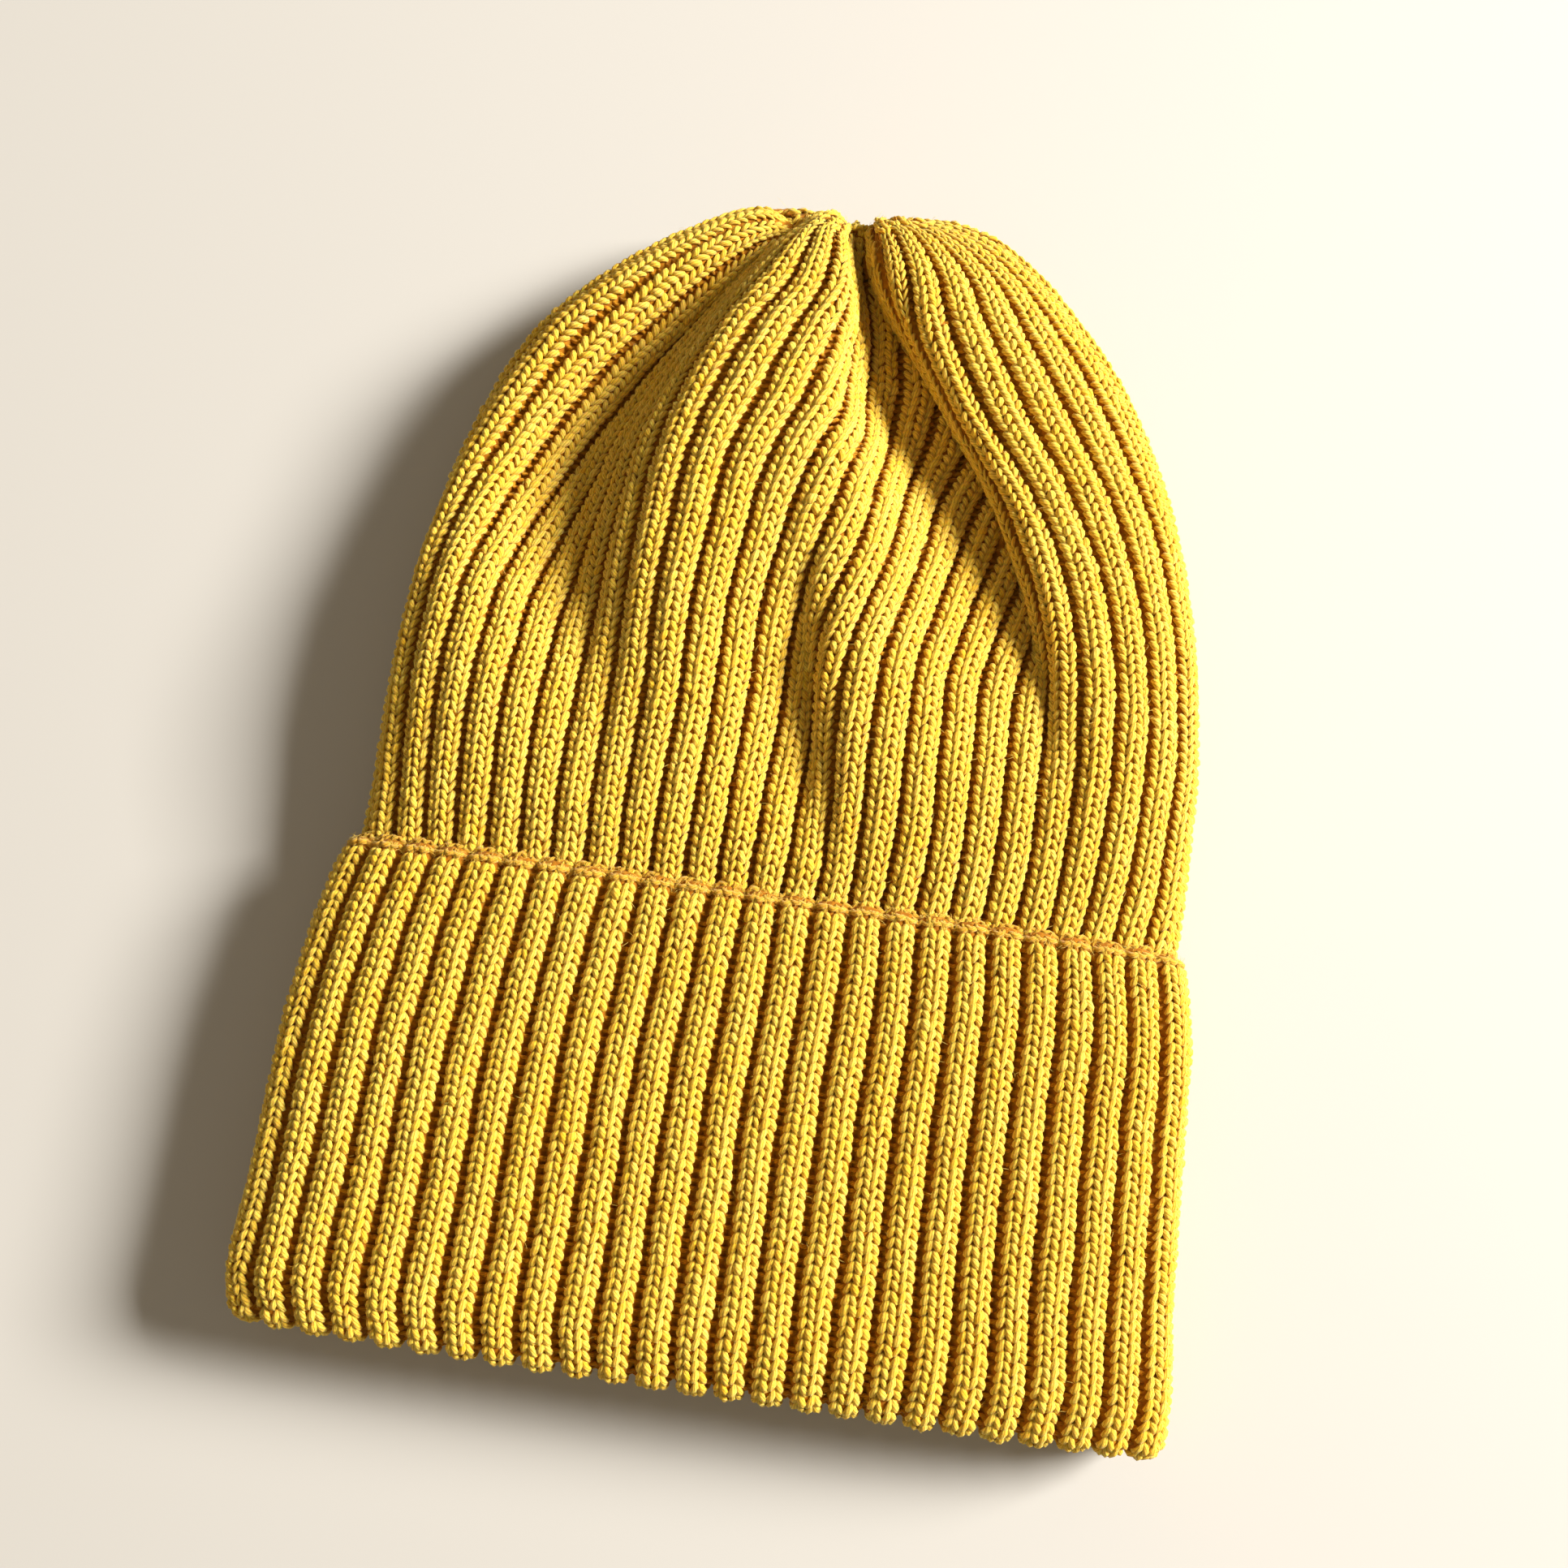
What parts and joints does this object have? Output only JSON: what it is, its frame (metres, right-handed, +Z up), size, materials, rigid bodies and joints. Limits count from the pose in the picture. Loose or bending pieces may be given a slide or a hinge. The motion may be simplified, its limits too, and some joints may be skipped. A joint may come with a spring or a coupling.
{
  "type": "slouchy beanie",
  "caption": "Rib-knit slouchy beanie with a wide turned-up cuff and a gathered crown, lying flat on its back, with an open hollow for the head",
  "frame": {"origin": "middle of the hat's outline at the level of the surface it lies on", "axes": "+X to the wearer's left edge of the hat as it lies face up, +Y from the mouth to the tip of the crown, +Z up from the surface"},
  "size_m": [0.2102, 0.2774, 0.0405],
  "materials": {
    "rib_knit": "soft matte mustard yarn in a rib knit",
    "cuff_knit": "soft matte mustard yarn in a rib knit, turned up"
  },
  "bodies": {
    "root": {"crown": "rib_knit", "cuff": "cuff_knit"}
  },
  "joints": []
}
